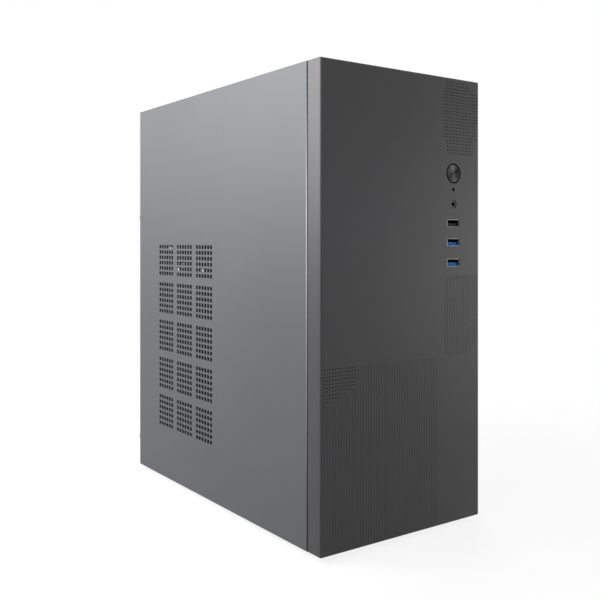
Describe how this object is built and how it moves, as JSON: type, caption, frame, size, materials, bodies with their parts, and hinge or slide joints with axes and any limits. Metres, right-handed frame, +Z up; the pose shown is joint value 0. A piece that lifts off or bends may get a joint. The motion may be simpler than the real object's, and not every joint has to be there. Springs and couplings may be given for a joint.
{
  "type": "desktop computer",
  "caption": "Dark grey mini tower computer with a flat grooved front, side controls in a column, a vented slide-off side panel and a full set of inner parts.",
  "frame": {"origin": "on the floor under the middle of the tower, thumbscrews included in its depth", "axes": "+Z up; the front with the power button faces -Y; the vented side panel faces -X"},
  "size_m": [0.16, 0.308, 0.354],
  "materials": {
    "case_paint": "satin",
    "bezel_plastic": "satin",
    "button_metal": "brushed",
    "lens_plastic": "gloss",
    "plated_steel": "satin",
    "black_plastic": "satin",
    "blue_plastic": "satin",
    "chassis_paint": "satin",
    "psu_paint": "satin",
    "board_laminate": "satin",
    "bare_aluminium": "satin",
    "thumb_metal": "satin",
    "brass": "satin",
    "socket_plastic": "matte",
    "chip_metal": "satin",
    "ferrite": "matte",
    "drive_shell": "satin",
    "foot_rubber": "matte"
  },
  "bodies": {
    "chassis": {"top_cover": "case_paint", "front_usb_shells": "plated_steel", "io_shield": "plated_steel", "slot_covers": "plated_steel", "screws": "plated_steel", "usb_stack": "plated_steel", "video_ports": "plated_steel", "lan_usb_stack": "plated_steel", "usb_black_insert": "black_plastic", "front_audio_jack": "black_plastic", "power_switch": "black_plastic", "psu_inlet": "black_plastic", "psu_switch_frame": "black_plastic", "rear_fan_frame": "black_plastic", "psu_fan_frame": "black_plastic", "cpu_fan_frame": "black_plastic", "memory_slots": "black_plastic", "expansion_slots": "black_plastic", "power_sockets": "black_plastic", "board_headers": "black_plastic", "audio_stack": "black_plastic", "psu_gland": "black_plastic", "usb_blue_inserts": "blue_plastic", "bottom_pan": "chassis_paint", "front_frame": "chassis_paint", "rear_panel": "chassis_paint", "board_tray": "chassis_paint", "drive_shelf": "chassis_paint", "psu_shell": "psu_paint", "psu_lid": "psu_paint", "mainboard": "board_laminate", "front_io_board": "board_laminate", "memory_module_1": "board_laminate", "memory_module_2": "board_laminate", "psu_board": "board_laminate", "cpu_heatsink": "bare_aluminium", "chipset_heatsink": "bare_aluminium", "capacitors": "bare_aluminium", "standoffs": "brass", "cpu_socket": "socket_plastic", "processor": "chip_metal", "coin_cell": "chip_metal", "power_chokes": "ferrite", "solid_state_drive": "drive_shell", "rubber_feet": "foot_rubber"},
    "front_bezel": {"front_bezel": "bezel_plastic", "led_lens": "lens_plastic"},
    "power_button": {"power_button": "button_metal"},
    "left_panel": {"left_side_panel": "case_paint"},
    "right_panel": {"right_side_panel": "case_paint"},
    "thumbscrew_left_upper": {"thumbscrew_left_upper": "thumb_metal"},
    "thumbscrew_left_lower": {"thumbscrew_left_lower": "thumb_metal"},
    "thumbscrew_right_upper": {"thumbscrew_right_upper": "thumb_metal"},
    "thumbscrew_right_lower": {"thumbscrew_right_lower": "thumb_metal"},
    "rear_fan": {"rear_fan_rotor": "black_plastic"},
    "cpu_fan": {"cpu_fan_rotor": "black_plastic"},
    "psu_fan": {"psu_fan_rotor": "black_plastic"},
    "psu_rocker": {"psu_rocker": "black_plastic"}
  },
  "joints": [
    {"name": "bezel_pull", "type": "slide", "parent": "chassis", "child": "front_bezel", "axis": [0, -1, 0], "range_m": [0, 0.06]},
    {"name": "power_button_press", "type": "slide", "parent": "front_bezel", "child": "power_button", "axis": [0, 1, 0], "range_m": [0, 0.0025], "stiffness_N_per_m": 900},
    {"name": "left_panel_slide", "type": "slide", "parent": "chassis", "child": "left_panel", "axis": [0, 1, 0], "range_m": [0, 0.3]},
    {"name": "right_panel_slide", "type": "slide", "parent": "chassis", "child": "right_panel", "axis": [0, 1, 0], "range_m": [0, 0.3]},
    {"name": "thumbscrew_left_upper_turn", "type": "hinge", "parent": "left_panel", "child": "thumbscrew_left_upper", "pos_m": [-0.072, 0.146, 0.2496], "axis": [0, 1, 0], "continuous": true},
    {"name": "thumbscrew_left_lower_turn", "type": "hinge", "parent": "left_panel", "child": "thumbscrew_left_lower", "pos_m": [-0.072, 0.146, 0.03], "axis": [0, 1, 0], "continuous": true},
    {"name": "thumbscrew_right_upper_turn", "type": "hinge", "parent": "right_panel", "child": "thumbscrew_right_upper", "pos_m": [0.072, 0.146, 0.2496], "axis": [0, 1, 0], "continuous": true},
    {"name": "thumbscrew_right_lower_turn", "type": "hinge", "parent": "right_panel", "child": "thumbscrew_right_lower", "pos_m": [0.072, 0.146, 0.03], "axis": [0, 1, 0], "continuous": true},
    {"name": "rear_fan_spin", "type": "hinge", "parent": "chassis", "child": "rear_fan", "pos_m": [-0.024, 0.13, 0.221], "axis": [0, 1, 0], "continuous": true},
    {"name": "cpu_fan_spin", "type": "hinge", "parent": "chassis", "child": "cpu_fan", "pos_m": [0.01, 0.0528, 0.195], "axis": [1, 0, 0], "continuous": true},
    {"name": "psu_fan_spin", "type": "hinge", "parent": "chassis", "child": "psu_fan", "pos_m": [0, 0.074, 0.28], "axis": [0, 0, 1], "continuous": true},
    {"name": "psu_switch_rock", "type": "hinge", "parent": "chassis", "child": "psu_rocker", "pos_m": [0.01, 0.1425, 0.3256], "axis": [1, 0, 0], "range_deg": [-16, 0]}
  ]
}
